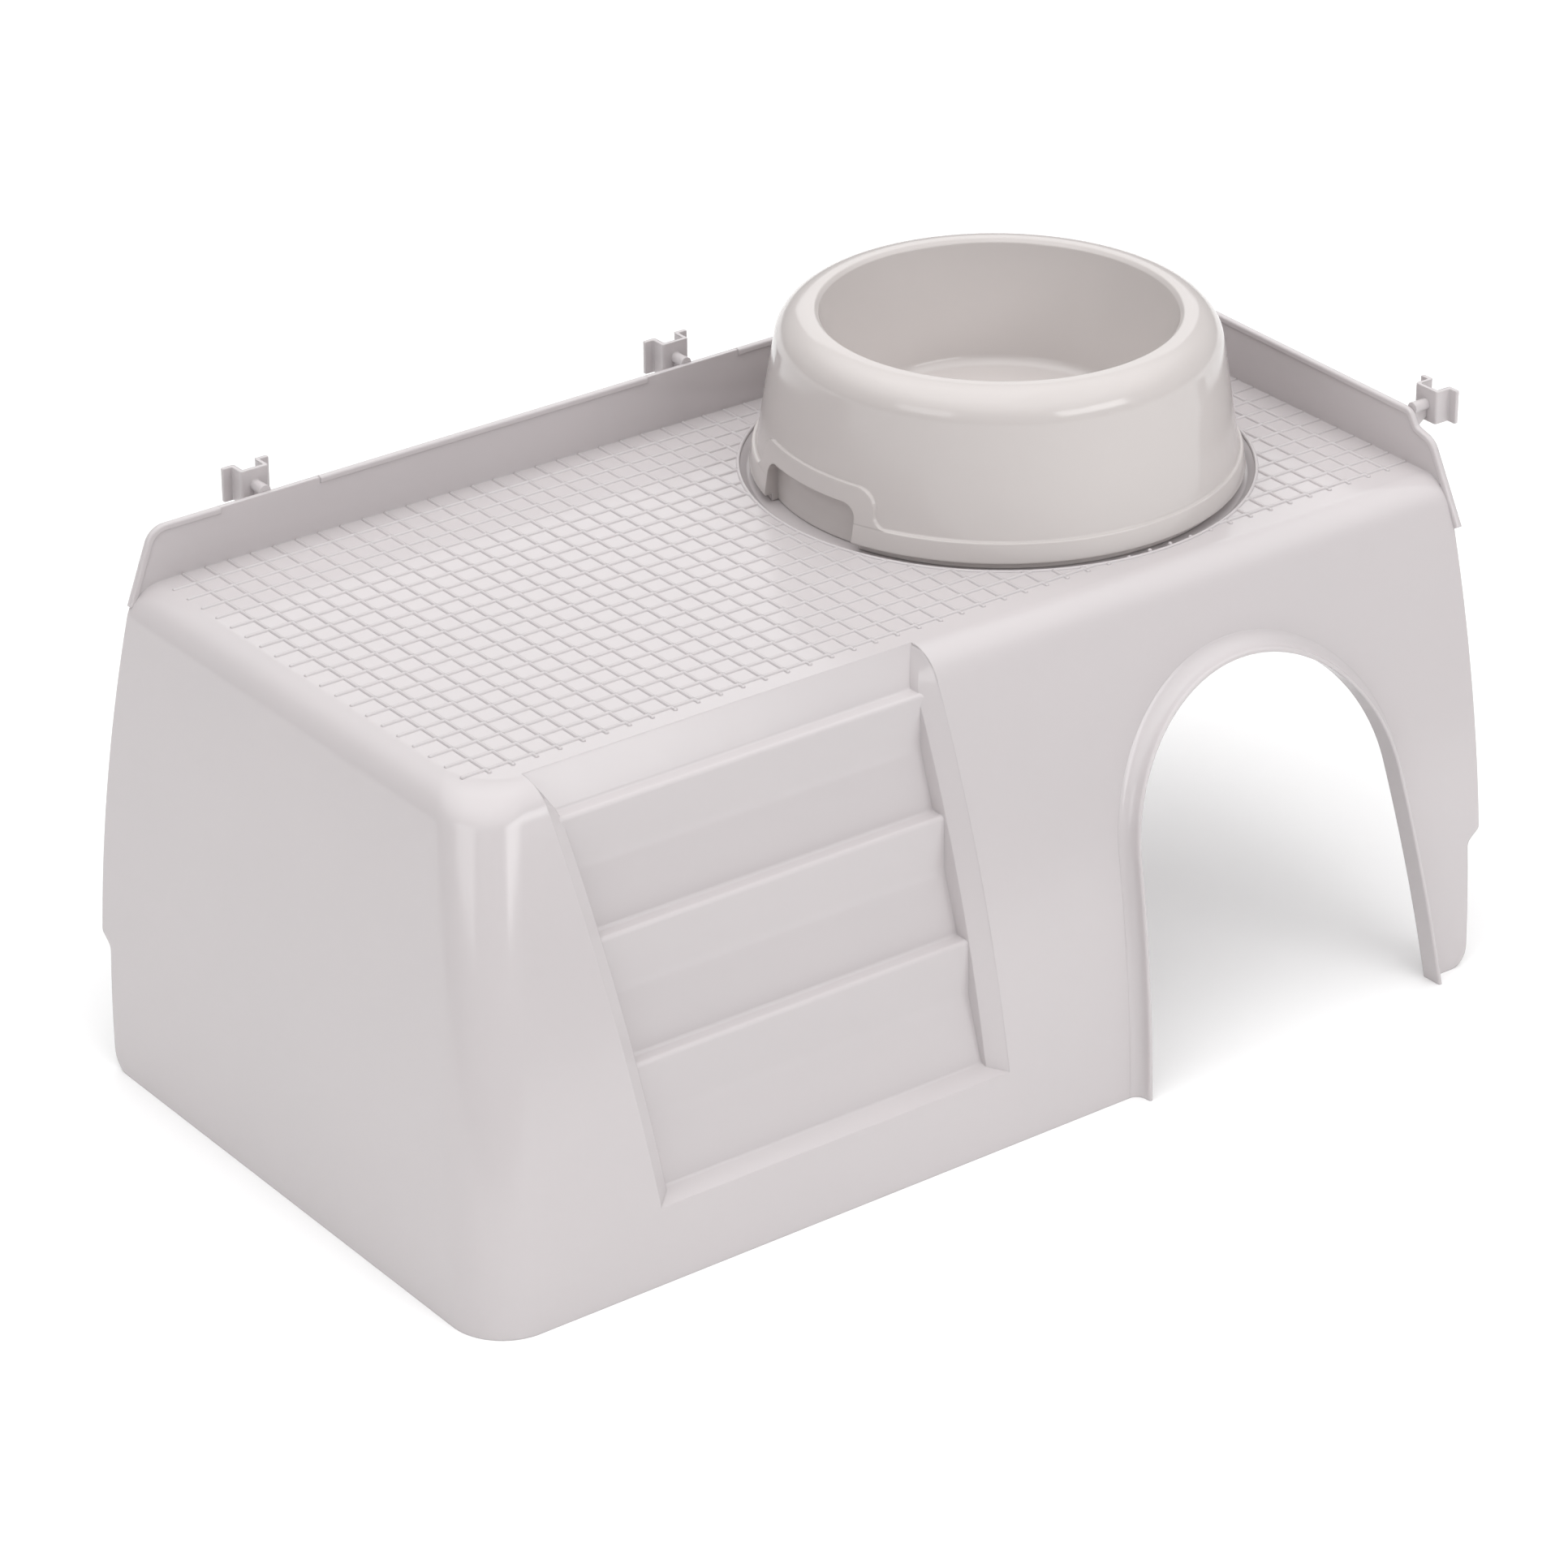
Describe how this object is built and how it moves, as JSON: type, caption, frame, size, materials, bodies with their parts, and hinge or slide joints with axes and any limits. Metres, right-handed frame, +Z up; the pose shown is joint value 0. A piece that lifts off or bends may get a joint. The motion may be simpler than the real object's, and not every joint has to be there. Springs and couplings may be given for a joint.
{
  "type": "small animal cage house",
  "caption": "Moulded corner house for a small-animal cage with steps, an arched doorway, a ribbed deck, wire clips and a lift-off feeding bowl",
  "frame": {"origin": "On the floor, below the middle of the whole part's bounding box", "axes": "+X along the house toward its right lip, +Y from the doorway wall toward the back lip, +Z up"},
  "size_m": [0.505, 0.3, 0.2445],
  "materials": {
    "shell_plastic": "glossy warm grey moulded polypropylene",
    "bowl_plastic": "glossy grey moulded polypropylene"
  },
  "bodies": {
    "house": {"house_shell": "shell_plastic", "wire_clip_left": "shell_plastic", "wire_clip_right": "shell_plastic", "wire_clip_side": "shell_plastic"},
    "bowl": {"food_bowl": "bowl_plastic"}
  },
  "joints": [
    {"name": "bowl_lift", "type": "slide", "parent": "house", "child": "bowl", "axis": [0, 0, 1], "range_m": [0, 0.12]}
  ]
}
